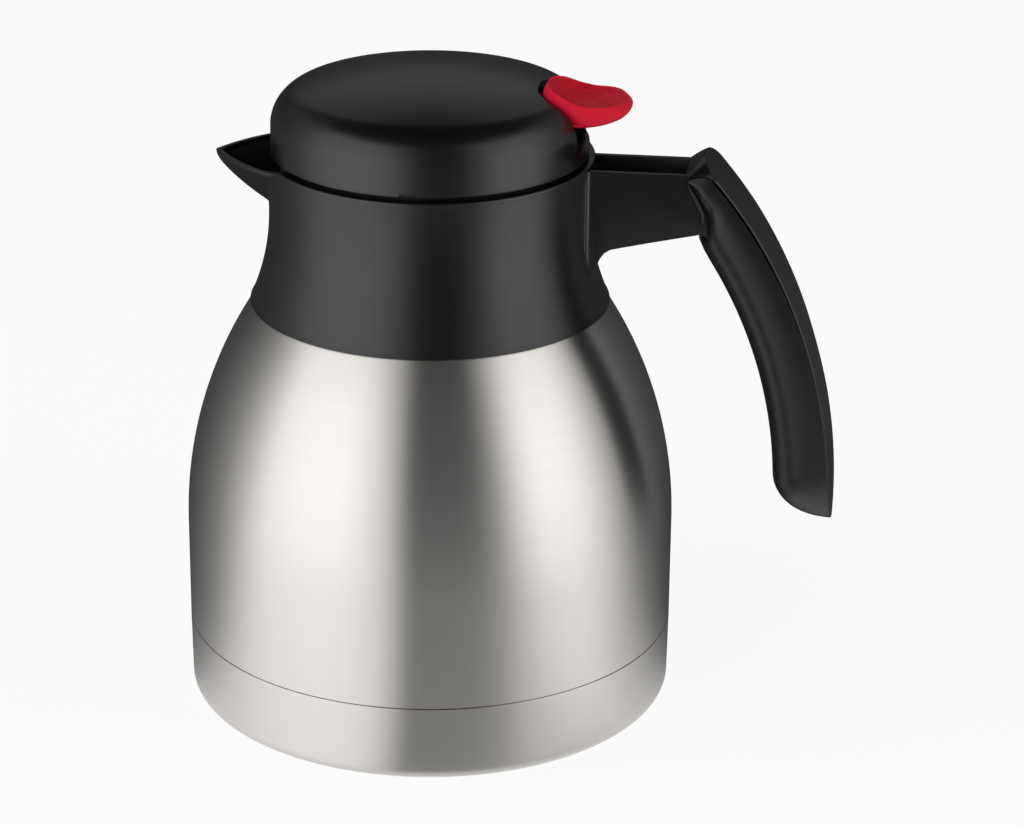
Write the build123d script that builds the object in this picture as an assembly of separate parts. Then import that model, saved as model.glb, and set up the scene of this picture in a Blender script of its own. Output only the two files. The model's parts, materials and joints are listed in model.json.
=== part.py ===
from build123d import *
from math import acos, asin, atan2, cos, degrees, pi, radians, sin, sqrt
import os

# Vacuum carafe, nominal 1 litre, with a screw-in stopper and a thumb lever that opens the pour valve.
# Millimetres. The origin is the centre of the base, +Z is up, +X points to the handle, -X to the spout.

# Steel flask
body_r = 65.0            # outer radius of the straight wall
wall_h = 48.0            # top of the straight wall, where the shoulder starts
shoulder_rise = 61.4     # height of the visible shoulder, up to the collar's lower edge
shell_wall = 0.6
liner_wall = 0.5
vacuum_gap = 3.0         # between shell and liner round the body
floor_gap = 4.6          # vacuum under the liner's floor, with room for the getter
liner_corner_r = 9.0
neck_bore_r = 34.5       # inside the liner's neck
neck_gap = 1.4           # vacuum gap inside the neck
ledge_below = 2.6        # the shell turns in this far above the collar's lower edge
ledge_rise = 3.0
neck_h = 8.0             # straight neck above the ledge
ledge_r = 2.4            # the sheet bends round this radius at both ends of the ledge
base_cap_h = 21.0
base_corner_r = 3.6
base_rim_w = 8.4         # flat ring that the carafe stands on
foot_space = 9.0         # air between the base cap and the vacuum bottom
base_recess = 1.8
bottom_rise = 4.2        # the vacuum bottom rises this much towards its edge
bottom_step_w = 6.0
bottom_skirt_h = 4.0     # welded overlap of the vacuum bottom inside the shell
plug_r_outer = 4.2       # plug that closes the vacuum
foil_t = 0.2

# Collar with the spout and the arm of the handle
collar_h = 39.8
bore_over_neck = 2.7     # collar's inner wall outside the shell's neck
collar_wall = 2.2        # thinnest wall of the collar
rim_flare = 0.8          # the rim stands out from the waist of the collar
foot_flare = 5.3         # the foot stands out from the waist of the collar
foot_proud = 0.75        # step from the steel to the collar's foot
waist_h = 25.0           # height of the waist above the foot
neck_seal_t = 1.0
flange_t = 2.0
sleeve_wall = 2.0
spout_reach = 13.3       # spout tip beyond the rim
spout_drop = 14.2        # where the keel meets the collar, below the spout's lip
spout_wall = 1.6
beak_inset = 0.5         # the beak starts this deep in the skin
beak_sections = 7
lip_drop = 1.5           # spout lip below the rim

# Handle
arm_w = 16.3
arm_wall = 2.0
channel_land = 0.7       # left at each end of the open channel on top of the arm
arm_below_rim = 1.0
arm_end_h = 16.0         # height of the arm where it meets the grip
arm_root_h = 20.4        # height of the arm beside the collar
arm_root_r = 3.4
grip_out_r = 135.6       # radius of the grip's outer curve
grip_depth = 16.2
grip_w = 22.4
grip_wall = 2.2
grip_crest = 4.3         # grip's peak above the arm
hollow_low_angle = 9.0   # degrees, where the space inside the grip starts
grip_centre_below = 88.1 # centre of the grip's curve below the arm's top
finger_gap = 26.5        # between the body and the grip
grip_tip_drop = 7.0      # tip below the centre of the grip's curve
ridge_w = 0.9            # sharp ridge of the grip on each side of its cover
cover_t = 2.4
cover_hollow = 0.7       # the cover's face is sunk this far between the ridges
web_t = 2.0              # web inside the grip that its screw pulls on
grip_screw_length = 8.5
crest_back = 4.2         # length of the facet from the crest forwards to the arm
crest_round = 11.0       # length over which the outer face rounds off to its crest
nose_bulge = 2.0         # the seam between arm and grip runs this far beyond the crest

# Thread between the collar and the stopper
thread_lead = 12.0
thread_starts = 3
thread_sweep = 70.0      # degrees that each ridge covers
thread_height = 1.5
thread_root_half = 0.75
thread_tip_half = 0.45
thread_play = 0.3        # axial play between ridges

# Stopper and pour valve
skirt_clear = 2.1        # between the skirt and the collar's bore
plug_clear = 1.1         # between the plug and the neck
plug_depth = 10.0        # plug below the neck's lip
stopper_wall = 2.0
stopper_seal_t = 1.6
tube_bore_r = 13.8
tube_wall = 1.8
seat_hole_r = 8.5
seat_h = 1.2
chamber_h = 12.0         # pour chamber with its side windows
window_count = 9
plate_t = 2.4
valve_r = 10.8
valve_t = 2.0
valve_seal_t = 1.2
stem_r = 2.2
screw_r = 1.4
screw_head_r = 2.7
screw_head_t = 1.8

# Lid dome
rim_gap = 0.8            # dark gap between the rim and the dome
dome_side_h = 7.0
dome_corner_r = 10.0
dome_crown_slope = 16.0  # degrees, where the corner runs into the crown
dome_wall = 2.2
slot_w = 25.2
slot_front_x = 28.0
slot_corner_r = 9.0
slot_floor_h = 2.8       # band left below the slot
notch_w = 5.0
notch_h = 1.5

# Thumb lever
lever_clear = 0.6        # between the pad and the slot
pad_overhang = 11.1      # pad beyond the dome
pad_corner_r = 9.4
pad_top_in = 1.5         # the pad's sides lean in this much
pivot_x = 32.0
pin_r = 1.5
pin_length = 19.8
lever_boss_r = 3.4
ear_t = 2.4
ear_gap = 13.8           # between the two ears
arm_bar_t = 3.0
fork_w = 10.0
lever_travel = 10.0      # degrees

# Return spring
spring_wire = 0.9
spring_mean_r = 4.3
spring_turns = 4
spring_seat_r = 6.0
spring_seat_t = 2.3

# Clearances
slip = 0.1               # parts that are pushed together
run_fit = 0.06           # turning and sliding fits
free = 0.3               # faces that pass each other

# Worked out from the sizes above
collar_z = wall_h + shoulder_rise
rim_z = collar_z + collar_h
neck_r = neck_bore_r + liner_wall + neck_gap + shell_wall
bore_r = neck_r + bore_over_neck
waist_r = bore_r + collar_wall
rim_r = waist_r + rim_flare
foot_r = waist_r + foot_flare
shoulder_top_r = foot_r - foot_proud
shoulder_r = ((body_r - shoulder_top_r) ** 2 + shoulder_rise ** 2) / (2 * (body_r - shoulder_top_r))
ledge_z = collar_z + ledge_below
neck_z = ledge_z + ledge_rise
lip_z = neck_z + neck_h
flange_z = lip_z + neck_seal_t
deck_z = flange_z + flange_t
liner_r = body_r - shell_wall - vacuum_gap
vacuum_z = base_recess + shell_wall + foot_space
liner_floor_z = vacuum_z + shell_wall + floor_gap
dome_r = waist_r - rim_flare + slip
dome_z = rim_z + rim_gap
seal_top_z = deck_z + stopper_seal_t
skirt_r = bore_r - skirt_clear
plug_r = neck_bore_r - plug_clear
plug_z = lip_z - plug_depth
cover_z = seal_top_z + 2 * stopper_wall
chamber_z = cover_z + stopper_wall
plate_z = chamber_z + chamber_h
plate_top_z = plate_z + plate_t
plate_r = bore_r - free * 3
seat_z = plug_z + stopper_wall + seat_h
valve_z = seat_z + slip
disc_z = valve_z + valve_seal_t
pivot_z = plate_top_z + 7.6
stem_top_z = pivot_z + 7.0
lift = pivot_x * sin(radians(lever_travel))


def shoulder_at(z, inset=0.0):
    """Radius of the steel shoulder, or of a surface inset from it, at height z."""
    return body_r - shoulder_r + sqrt((shoulder_r - inset) ** 2 - (z - wall_h) ** 2)


def profile(sketch):
    """Half section, drawn as (radius, height), turned about the vertical axis."""
    return revolve(Plane.XZ * sketch, Axis.Z)


def outline(*points):
    return make_face(Polyline(*points, close=True))


def tube(r_in, r_out, z0, z1):
    body = Pos(0, 0, z0) * Cylinder(r_out, z1 - z0, align=(Align.CENTER, Align.CENTER, Align.MIN))
    if r_in:
        body -= Pos(0, 0, z0) * Cylinder(r_in, z1 - z0, align=(Align.CENTER, Align.CENTER, Align.MIN))
    return body


def block(x0, x1, y0, y1, z0, z1):
    size = (x1 - x0, y1 - y0, z1 - z0)
    return Pos((x0 + x1) / 2, (y0 + y1) / 2, (z0 + z1) / 2) * Box(*size)


def side_plate(face, half_width):
    """Face drawn as (x, z), made solid on both sides of the middle plane."""
    return extrude(Plane.XZ * face, amount=half_width, both=True)


def flask_region(inset, floor_z, neck, top_z, corner_r, turn_fillet_r):
    """Half section of the space inside a flask wall, from the axis out."""
    wall_r = body_r - inset
    turn_z = ledge_z - inset * 0.5
    turn_r = shoulder_at(turn_z, inset)
    middle_z = (wall_h + turn_z) / 2
    sides = [
        Line((0, floor_z), (wall_r, floor_z)),
        Line((wall_r, floor_z), (wall_r, wall_h)),
        ThreePointArc((wall_r, wall_h), (shoulder_at(middle_z, inset), middle_z), (turn_r, turn_z)),
        Line((turn_r, turn_z), (neck, neck_z - inset * 0.5)),
        Line((neck, neck_z - inset * 0.5), (neck, top_z)),
        Line((neck, top_z), (0, top_z)),
        Line((0, top_z), (0, floor_z)),
    ]
    face = make_face(sides)
    face = round_corner(face, wall_r, floor_z, corner_r)
    face = round_corner(face, turn_r, turn_z, turn_fillet_r)
    return round_corner(face, neck, neck_z - inset * 0.5, turn_fillet_r)


def round_corner(face, x, y, radius):
    corner = [v for v in face.vertices() if abs(v.X - x) < 1e-4 and abs(v.Y - y) < 1e-4]
    return fillet(corner, radius)


def window(z0, z1, reach=200.0):
    """Rectangle that keeps the part of a half section between two heights."""
    return Pos(reach / 2, (z0 + z1) / 2) * Rectangle(reach, z1 - z0)


def outer_shell():
    outer = flask_region(0, 0, neck_r, lip_z + 1, base_corner_r, ledge_r)
    inner = flask_region(shell_wall, -1, neck_r - shell_wall, lip_z + 2, base_corner_r, ledge_r)
    section = (outer - inner) & window(base_cap_h, lip_z - shell_wall)
    bead = tube(neck_r - slip, neck_r + 0.5, neck_z + 3.0, neck_z + 4.4)
    return profile(section) + bead


def inner_liner():
    inset = body_r - liner_r
    neck = neck_bore_r + liner_wall
    outer = flask_region(inset, liner_floor_z, neck, lip_z, liner_corner_r, ledge_r)
    inner = flask_region(inset + liner_wall, liner_floor_z + liner_wall, neck_bore_r, lip_z + 1,
                         liner_corner_r - liner_wall, ledge_r)
    lip = Pos((neck + neck_r) / 2, lip_z - shell_wall / 2) * Rectangle(neck_r - neck, shell_wall)
    return profile((outer - inner) + lip)


def radiation_foil():
    inset = body_r - liner_r - slip
    outer = flask_region(inset - foil_t, 0, neck_bore_r, lip_z, base_corner_r, ledge_r)
    inner = flask_region(inset, -1, neck_bore_r - 1, lip_z + 1, base_corner_r, ledge_r)
    return profile((outer - inner) & window(liner_floor_z + 12.0, ledge_z - 8.0))


def base_cap():
    half = shell_wall / 2
    ring_r = body_r - base_corner_r - base_rim_w
    section = outline(
        (body_r, base_cap_h), (body_r, 0), (ring_r, 0), (ring_r - base_recess, base_recess),
        (0, base_recess), (0, base_recess + shell_wall), (ring_r - base_recess + half, base_recess + shell_wall),
        (ring_r + half, shell_wall), (body_r - shell_wall, shell_wall), (body_r - shell_wall, base_cap_h),
    )
    section = round_corner(section, body_r, 0, base_corner_r)
    section = round_corner(section, body_r - shell_wall, shell_wall, base_corner_r - shell_wall)
    return profile(section)


def vacuum_bottom():
    low = vacuum_z
    top = base_cap_h + bottom_skirt_h
    outer = body_r - shell_wall
    step_r = outer - bottom_step_w
    step_z = low + bottom_rise
    section = outline(
        (0, low), (step_r - bottom_rise, low), (step_r, step_z), (outer, step_z), (outer, top),
        (outer - shell_wall, top), (outer - shell_wall, step_z + shell_wall),
        (step_r - shell_wall / 2, step_z + shell_wall),
        (step_r - shell_wall / 2 - bottom_rise, low + shell_wall), (0, low + shell_wall),
    )
    return profile(section) - tube(0, plug_r_outer, low + shell_wall / 2, low + shell_wall)


def vacuum_plug():
    low = vacuum_z + shell_wall / 2
    return tube(0, plug_r_outer - slip / 2, low, low + 0.8)


def getter():
    low = vacuum_z + shell_wall
    clip = block(14.0, 26.0, -4.0, 4.0, low, low + 0.4)
    pill = Pos(20.0, 0, low + 0.4) * Cylinder(3.2, 1.6, align=(Align.CENTER, Align.CENTER, Align.MIN))
    return clip + pill


def neck_seal():
    return tube(neck_bore_r + liner_wall, neck_r, lip_z, flange_z)


waist_z = collar_z + waist_h
foot_arc_r = (foot_flare ** 2 + waist_h ** 2) / (2 * foot_flare)
rim_arc_r = (rim_flare ** 2 + (rim_z - waist_z) ** 2) / (2 * rim_flare)


def collar_at(z):
    """Outer radius of the collar, two arcs that meet upright at the waist."""
    arc_r = foot_arc_r if z < waist_z else rim_arc_r
    return waist_r + arc_r - sqrt(arc_r ** 2 - (z - waist_z) ** 2)


def collar_section():
    foot_mid_z = collar_z + waist_h * 0.45
    rim_mid_z = (waist_z + rim_z) / 2
    skin = make_face([
        ThreePointArc((foot_r, collar_z), (collar_at(foot_mid_z), foot_mid_z), (waist_r, waist_z)),
        ThreePointArc((waist_r, waist_z), (collar_at(rim_mid_z), rim_mid_z), (rim_r, rim_z)),
        Line((rim_r, rim_z), (bore_r, rim_z)),
        Line((bore_r, rim_z), (bore_r, deck_z)),
        Line((bore_r, deck_z), (neck_bore_r + free, deck_z)),
        Line((neck_bore_r + free, deck_z), (neck_bore_r + free, flange_z)),
        Line((neck_bore_r + free, flange_z), (neck_r + 2 * slip, flange_z)),
        Line((neck_r + 2 * slip, flange_z), (neck_r + 2 * slip, neck_z + 1.0)),
        Line((neck_r + 2 * slip, neck_z + 1.0), (neck_r + 2 * slip + sleeve_wall, neck_z + 1.0)),
        Line((neck_r + 2 * slip + sleeve_wall, neck_z + 1.0), (neck_r + 2 * slip + sleeve_wall, flange_z - 3.0)),
        Line((neck_r + 2 * slip + sleeve_wall, flange_z - 3.0), (bore_r + 1.2, flange_z - 3.0)),
        Line((bore_r + 1.2, flange_z - 3.0), (shoulder_at(ledge_z + 0.9) + slip, ledge_z + 0.9)),
        Line((shoulder_at(ledge_z + 0.9) + slip, ledge_z + 0.9), (shoulder_top_r + slip, collar_z)),
        Line((shoulder_top_r + slip, collar_z), (foot_r, collar_z)),
    ])
    return skin


def keel_reach(z):
    """How far the spout's keel stands beyond the collar at height z."""
    share = (z - (rim_z - lip_drop - spout_drop)) / spout_drop
    share = min(max(share, 0.0), 1.0)
    return spout_reach * (1 - (1 - share) ** 1.6)


def beak(wall, floor):
    """Beak whose level sections run straight from its keel to just inside the collar's skin."""
    low = rim_z - lip_drop - spout_drop
    sections = []
    for step in range(beak_sections):
        z = low + (rim_z - low) * step / (beak_sections - 1)
        skin_r = collar_at(z) - beak_inset
        d = (skin_r + beak_inset + keel_reach(z)) * (1 - wall / skin_r)
        r = skin_r - wall
        turn = acos(r / d)
        touch_x, touch_y = -r * cos(turn), r * sin(turn)
        inside = -bore_r * 0.55
        corners = [(-d, 0), (touch_x, touch_y), (inside, touch_y), (inside, -touch_y), (touch_x, -touch_y)]
        line = Polyline(*corners, close=True)
        sections.append(Wire((Pos(0, 0, z + floor) * line).edges()))
    return Solid.make_loft(sections, ruled=False)


def spout_lip_cut():
    """Space above the spout's lip, a shallow hollow from the rim out to the tip."""
    tip_x = -(rim_r + spout_reach + 2.0)
    start_x = -(rim_r - 2.0)
    tip_z = rim_z - lip_drop
    face = make_face([
        ThreePointArc((start_x, rim_z), ((start_x + tip_x) / 2, rim_z - lip_drop * 1.1), (tip_x, tip_z)),
        Line((tip_x, tip_z), (tip_x, rim_z + 20)),
        Line((tip_x, rim_z + 20), (start_x, rim_z + 20)),
        Line((start_x, rim_z + 20), (start_x, rim_z)),
    ])
    return side_plate(face, rim_r)


def thread_ridges(root_r, tip_r, start_z):
    """Helical ridges, lofted through one section every few degrees."""
    steps = 7
    ridges = []
    for start in range(thread_starts):
        sections = []
        for step in range(steps + 1):
            turn = thread_sweep * step / steps
            z = start_z + thread_lead * turn / 360
            corners = [
                (root_r, 0, z - thread_root_half), (tip_r, 0, z - thread_tip_half),
                (tip_r, 0, z + thread_tip_half), (root_r, 0, z + thread_root_half),
            ]
            angle = 120 + 360 / thread_starts * start + turn
            sections.append(Wire((Rot(0, 0, angle) * Polyline(*corners, close=True)).edges()))
        ridges.append(Solid.make_loft(sections, ruled=True))
    return ridges


stopper_thread_z = seal_top_z + 1.6
collar_thread_z = stopper_thread_z + 2 * thread_root_half + thread_play


# Handle lines, drawn as (x, z)
arm_top_z = rim_z - arm_below_rim
grip_cx = body_r + finger_gap + grip_depth - grip_out_r
grip_cz = arm_top_z - grip_centre_below
grip_in_r = grip_out_r - grip_depth
crest_angle = degrees(asin((arm_top_z + grip_crest - grip_cz) / grip_out_r))
tip_angle = -degrees(asin(grip_tip_drop / grip_out_r))


def on_grip(radius, angle):
    return (grip_cx + radius * cos(radians(angle)), grip_cz + radius * sin(radians(angle)))


crest = on_grip(grip_out_r, crest_angle)
nose_top = (crest[0] - crest_back, arm_top_z)
nose_mid = (crest[0] + nose_bulge, arm_top_z - arm_end_h * 0.54)
nose_low = (crest[0] + nose_bulge / 2, arm_top_z - arm_end_h)
inner_angle = degrees(atan2(nose_low[1] - grip_cz, nose_low[0] - grip_cx))


def grip_side():
    """Side view of the grip."""
    tip = on_grip(grip_out_r, tip_angle)
    low = on_grip(grip_in_r + 0.4, 2.6)
    start = on_grip(grip_in_r, inner_angle - 3.0)
    heel = (low[0] + (tip[0] - low[0]) * 0.32, tip[1] + (low[1] - tip[1]) * 0.24)
    return make_face([
        ThreePointArc(tip, on_grip(grip_out_r, 20), crest),
        Line(crest, nose_top),
        Line(nose_top, nose_mid),
        Line(nose_mid, nose_low),
        Line(nose_low, start),
        ThreePointArc(start, on_grip(grip_in_r, 16), low),
        ThreePointArc(low, heel, tip),
    ])


def grip_front():
    """Outline that narrows the grip to its rounded lower tip, drawn as (y, z)."""
    half = grip_w / 2 + 2.0
    tip_z = grip_cz - grip_tip_drop - 0.6
    full_z = tip_z + 19.0
    return make_face([
        ThreePointArc((-half, full_z), (-half * 0.62, tip_z + 6.0), (0, tip_z)),
        ThreePointArc((0, tip_z), (half * 0.62, tip_z + 6.0), (half, full_z)),
        Line((half, full_z), (half, crest[1] + 20)),
        Line((half, crest[1] + 20), (-half, crest[1] + 20)),
        Line((-half, crest[1] + 20), (-half, full_z)),
    ])


def crest_cut():
    """Keeps the grip inside a round end that leans forwards below the crest."""
    half = grip_w / 2 + 1.3
    along = Vector(sin(radians(crest_angle)), 0, -cos(radians(crest_angle)))
    outward = Vector(cos(radians(crest_angle)), 0, sin(radians(crest_angle)))
    plane = Plane(origin=Vector(crest[0], 0, crest[1]) + outward * 5 + along * 5, x_dir=along, z_dir=outward)
    middle = crest_round * 0.29
    face = make_face([
        ThreePointArc((crest_round, -half), (middle, -half * 0.707), (0, 0)),
        ThreePointArc((0, 0), (middle, half * 0.707), (crest_round, half)),
        Line((crest_round, half), (300, half)),
        Line((300, half), (300, -half)),
        Line((300, -half), (crest_round, -half)),
    ])
    return extrude(plane * face, amount=60, dir=-outward - along)


def grip_envelope():
    body = side_plate(grip_side(), grip_w) & extrude(Plane.YZ * grip_front(), amount=grip_cx + 300)
    return body & crest_cut()


def grip_sweep(section, low_angle, high_angle):
    """Section drawn as (radius, y), carried round the grip's curve."""
    axis = Axis((grip_cx, 0, grip_cz), (0, -1, 0))
    face = Pos(grip_cx, 0, grip_cz) * section
    return revolve(face.rotate(axis, low_angle), axis, high_angle - low_angle)


def grip_body_section(inset=0.0):
    """Section of the grip out to the tips of its ridges, without the cover."""
    half = grip_w / 2 - inset
    inner = grip_in_r + inset
    side_r = grip_out_r - cover_t - 3.5
    cheek_r = inner + grip_depth * 0.19
    return make_face([
        Line((grip_out_r, -half), (grip_out_r, half)),
        Line((grip_out_r, half), (side_r, half)),
        ThreePointArc((side_r, half), (cheek_r, half * 0.68), (inner, 0)),
        ThreePointArc((inner, 0), (cheek_r, -half * 0.68), (side_r, -half)),
        Line((side_r, -half), (grip_out_r, -half)),
    ])


def cover_section(gap=0.0):
    """Section of the cover, or of the groove that takes it."""
    half = grip_w / 2 - ridge_w + gap
    low_r = grip_out_r - cover_t
    return make_face([
        Line((low_r, -half), (low_r, half)),
        Line((low_r, half), (grip_out_r, half)),
        ThreePointArc((grip_out_r, half), (grip_out_r - cover_hollow, 0), (grip_out_r, -half)),
        Line((grip_out_r, -half), (low_r, -half)),
    ])


def cover_groove():
    groove = grip_sweep(cover_section(slip), -8, crest_angle + 4)
    above = grip_sweep(Pos(grip_out_r + 5, 0) * Rectangle(12, grip_w - 2 * ridge_w + 2 * slip),
                       -8, crest_angle + 4)
    return groove + above


def grip_hollow():
    """Space inside the grip for the end of the arm and its screw, open towards the cover."""
    section = grip_body_section(grip_wall) & Circle(grip_out_r - cover_t / 2)
    hollow = grip_sweep(section, hollow_low_angle, crest_angle + 4)
    return hollow & side_plate(grip_side(), grip_w) & block(0, 300, -50, 50, 0, arm_top_z - grip_wall)


screw_z = arm_top_z - 10.5
web_x = nose_mid[0] + 1.0


def handle_grip():
    body = grip_sweep(grip_body_section(), -8, crest_angle + 4) & grip_envelope()
    body -= grip_hollow()
    web = block(web_x, web_x + web_t, -grip_w / 2, grip_w / 2, screw_z - 6, screw_z + 6)
    body += web & grip_hollow()
    body -= cover_groove()
    return body - (Pos(web_x, 0, screw_z) * Rot(0, 90, 0) * Cylinder(screw_r + slip, 12))


def grip_cover():
    return grip_sweep(cover_section(), -8, crest_angle + 4) & grip_envelope()


def grip_screw():
    head = Pos(web_x + web_t, 0, screw_z) * Rot(0, 90, 0) * Cylinder(
        screw_head_r, screw_head_t, align=(Align.CENTER, Align.CENTER, Align.MIN))
    shank = Pos(web_x + web_t, 0, screw_z) * Rot(0, -90, 0) * Cylinder(
        screw_r, grip_screw_length, align=(Align.CENTER, Align.CENTER, Align.MIN))
    return head + shank


def arm():
    """Arm of the handle, moulded with the collar, open at the top."""
    root_x = bore_r + 1.0
    root_low = (foot_mid_x(), arm_top_z - arm_root_h - 5.2)
    side = make_face([
        Line((root_x, arm_top_z), nose_top),
        Line(nose_top, nose_mid),
        Line(nose_mid, nose_low),
        Line(nose_low, (root_low[0] + 6.0, arm_top_z - arm_root_h)),
        Line((root_low[0] + 6.0, arm_top_z - arm_root_h), (root_low[0], arm_top_z - arm_root_h)),
        Line((root_low[0], arm_top_z - arm_root_h), root_low),
        Line(root_low, (root_x, root_low[1])),
        Line((root_x, root_low[1]), (root_x, arm_top_z)),
    ])
    side = round_corner(side, root_low[0], arm_top_z - arm_root_h, 4.6)
    plan = Circle(waist_r) + Pos(60, 0) * Rectangle(120, arm_w)
    corners = [v for v in plan.vertices() if abs(abs(v.Y) - arm_w / 2) < 1e-4 and 0 < v.X < waist_r]
    plan = fillet(corners, arm_root_r)
    body = side_plate(side, arm_w) & extrude(plan, amount=arm_top_z + 1)
    floor = outline(
        (rim_r + channel_land, arm_top_z + 1), (nose_top[0] - channel_land, arm_top_z + 1),
        (nose_top[0] - channel_land, nose_low[1] + arm_wall), (rim_r + channel_land, arm_top_z - arm_root_h + 4.2),
    )
    return body - side_plate(floor, arm_w / 2 - arm_wall)


def foot_mid_x():
    return waist_r + 2.6


def arm_tongue():
    """End of the arm inside the grip, with a bore for the grip's screw."""
    tongue = block(nose_mid[0] - 6.0, web_x - slip, -5.0, 5.0, screw_z - 4.5, screw_z + 4.5)
    return tongue


def collar():
    body = profile(collar_section())
    groove = tube(neck_r, neck_r + 0.7, neck_z + 2.8, neck_z + 4.6)
    body -= groove
    inside = tube(0, bore_r + 0.8, 0, rim_z + 20)
    body += beak(0, 0) - inside
    body += arm() - inside
    body += arm_tongue()
    body -= beak(spout_wall, spout_wall) & tube(0, 200, deck_z + 4, rim_z + 20)
    body -= spout_lip_cut()
    for ridge in thread_ridges(bore_r + 0.4, bore_r - thread_height, collar_thread_z):
        body += ridge
    bore = Pos(web_x, 0, screw_z) * Rot(0, -90, 0) * Cylinder(
        screw_r, grip_screw_length - web_t + free, align=(Align.CENTER, Align.CENTER, Align.MIN))
    return body - bore


def stopper_seal():
    return tube(plug_r + slip, skirt_r - 0.6, deck_z, seal_top_z)


boss_r = 3.4
boss_at_r = skirt_r - stopper_wall - boss_r + 0.8


def boss_places():
    return [Rot(0, 0, angle) * Pos(boss_at_r, 0, 0) for angle in (60, 180, 300)]


def stopper_body():
    inner = skirt_r - stopper_wall
    plug_in = plug_r - stopper_wall
    tube_out = tube_bore_r + tube_wall
    section = outline(
        (seat_hole_r, plug_z), (plug_r, plug_z), (plug_r, seal_top_z + slip / 2), (skirt_r, seal_top_z + slip / 2),
        (skirt_r, plate_z), (inner, plate_z), (inner, cover_z), (plug_in, cover_z),
        (plug_in, plug_z + stopper_wall), (tube_out, plug_z + stopper_wall), (tube_out, chamber_z),
        (tube_bore_r, chamber_z), (tube_bore_r, plug_z + stopper_wall), (seat_hole_r + 1.5, plug_z + stopper_wall),
        (seat_hole_r + 1.5, seat_z), (seat_hole_r, seat_z),
    )
    body = profile(section)
    opening = Box(stopper_wall * 3, 2 * pi * skirt_r / window_count * 0.66, chamber_h - 3.0)
    for k in range(window_count):
        turn = 360 / window_count * k
        body -= Rot(0, 0, turn) * Pos(skirt_r - stopper_wall / 2, 0, chamber_z + chamber_h / 2) * opening
    for ridge in thread_ridges(skirt_r - 0.4, bore_r - 0.5, stopper_thread_z):
        body += ridge
    for place in boss_places():
        boss = place * tube(0, boss_r, cover_z, plate_z)
        body += boss
        body -= place * tube(0, screw_r, chamber_z + 1.0, plate_z)
    return body


def stopper_insulation():
    inner = tube_bore_r + tube_wall + slip
    return tube(inner, plug_r - stopper_wall - slip, plug_z + stopper_wall, cover_z)


def insulation_cover():
    disc = tube(tube_bore_r + tube_wall + slip / 2, skirt_r - stopper_wall - slip / 2, cover_z, chamber_z)
    for place in boss_places():
        disc -= place * tube(0, boss_r + slip, cover_z, chamber_z)
    return disc


ear_mid = ear_gap / 2 + ear_t / 2


def ear():
    """One ear for the lever's pin, drawn as (x, z)."""
    foot = outline((pivot_x - 4.5, plate_top_z), (pivot_x + 3.2, plate_top_z), (pivot_x + 3.0, pivot_z),
                   (pivot_x - 3.0, pivot_z))
    return foot + Pos(pivot_x, pivot_z) * Circle(3.0)


def stopper_top():
    plate = tube(0, plate_r, plate_z, plate_top_z)
    rim = tube(plate_r - stopper_wall, plate_r, plate_top_z, dome_z + slot_floor_h - 0.4)
    guide = tube(0, stem_r + 3.4, plate_top_z, plate_top_z + 2.8)
    body = plate + rim + guide
    blade = Plane.XZ * ear()
    for side in (-1, 1):
        body += Pos(0, side * ear_mid, 0) * extrude(blade, amount=ear_t / 2, both=True)
    body -= tube(0, stem_r + run_fit, plate_z, plate_top_z + 3)
    body -= tube(0, stem_r + 2.0, plate_top_z + 1.2, plate_top_z + 2.8)
    body -= Pos(pivot_x, 0, pivot_z) * Rot(90, 0, 0) * Cylinder(pin_r + slip / 2, 60)
    for place in boss_places():
        body -= place * tube(0, screw_r + slip, plate_z, plate_top_z)
    return body


def stem_seal():
    return tube(stem_r + run_fit, stem_r + 2.0 - slip / 2, plate_top_z + 1.2, plate_top_z + 2.6)


def top_screws():
    screws = []
    for place in boss_places():
        shank = place * tube(0, screw_r - slip / 2, chamber_z + 1.6, plate_top_z)
        head = place * tube(0, screw_head_r, plate_top_z, plate_top_z + screw_head_t)
        slot = place * Pos(0, 0, plate_top_z + screw_head_t) * Box(4.0, 0.9, 1.4)
        screws.append(head + shank - slot)
    return Compound(children=screws)


def valve_stem():
    head = tube(0, 4.6, valve_z - 1.6, valve_z)
    return head + tube(0, stem_r, valve_z, stem_top_z)


def valve_seal():
    return tube(stem_r + slip / 2, valve_r, valve_z, disc_z)


def valve_disc():
    return tube(stem_r + slip / 2, valve_r - 0.4, disc_z, disc_z + valve_t)


spring_seat_z = pivot_z + arm_bar_t / 2 + slip


def spring_seat():
    return tube(stem_r + slip / 2, spring_seat_r, spring_seat_z, spring_seat_z + spring_seat_t)


def crown_point(inset=0.0):
    slope = radians(dome_crown_slope)
    r = dome_corner_r - inset
    centre = (dome_r - dome_corner_r, dome_z + dome_side_h)
    return (centre[0] + r * sin(slope), centre[1] + r * cos(slope))


crown_r = crown_point()[0] / sin(radians(dome_crown_slope))
dome_top_z = crown_point()[1] + crown_r * (1 - cos(radians(dome_crown_slope)))
ceiling_z = dome_top_z - dome_wall


def dome_region(inset, low_z):
    """Half section below the dome's surface, or below a surface inset from it."""
    r = dome_corner_r - inset
    centre = (dome_r - dome_corner_r, dome_z + dome_side_h)
    half_slope = radians(90 - dome_crown_slope) / 2
    corner_mid = (centre[0] + r * cos(half_slope), centre[1] + r * sin(half_slope))
    end = crown_point(inset)
    top_z = dome_top_z - inset
    sag = radians(dome_crown_slope) / 2
    crown_mid = ((crown_r - inset) * sin(sag), top_z - (crown_r - inset) * (1 - cos(sag)))
    return make_face([
        Line((0, low_z), (dome_r - inset, low_z)),
        Line((dome_r - inset, low_z), (dome_r - inset, centre[1])),
        ThreePointArc((dome_r - inset, centre[1]), corner_mid, end),
        ThreePointArc(end, crown_mid, (0, top_z)),
        Line((0, top_z), (0, low_z)),
    ])


spring_well_z = ceiling_z - 0.4
spring_z = spring_seat_z + spring_seat_t


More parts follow.
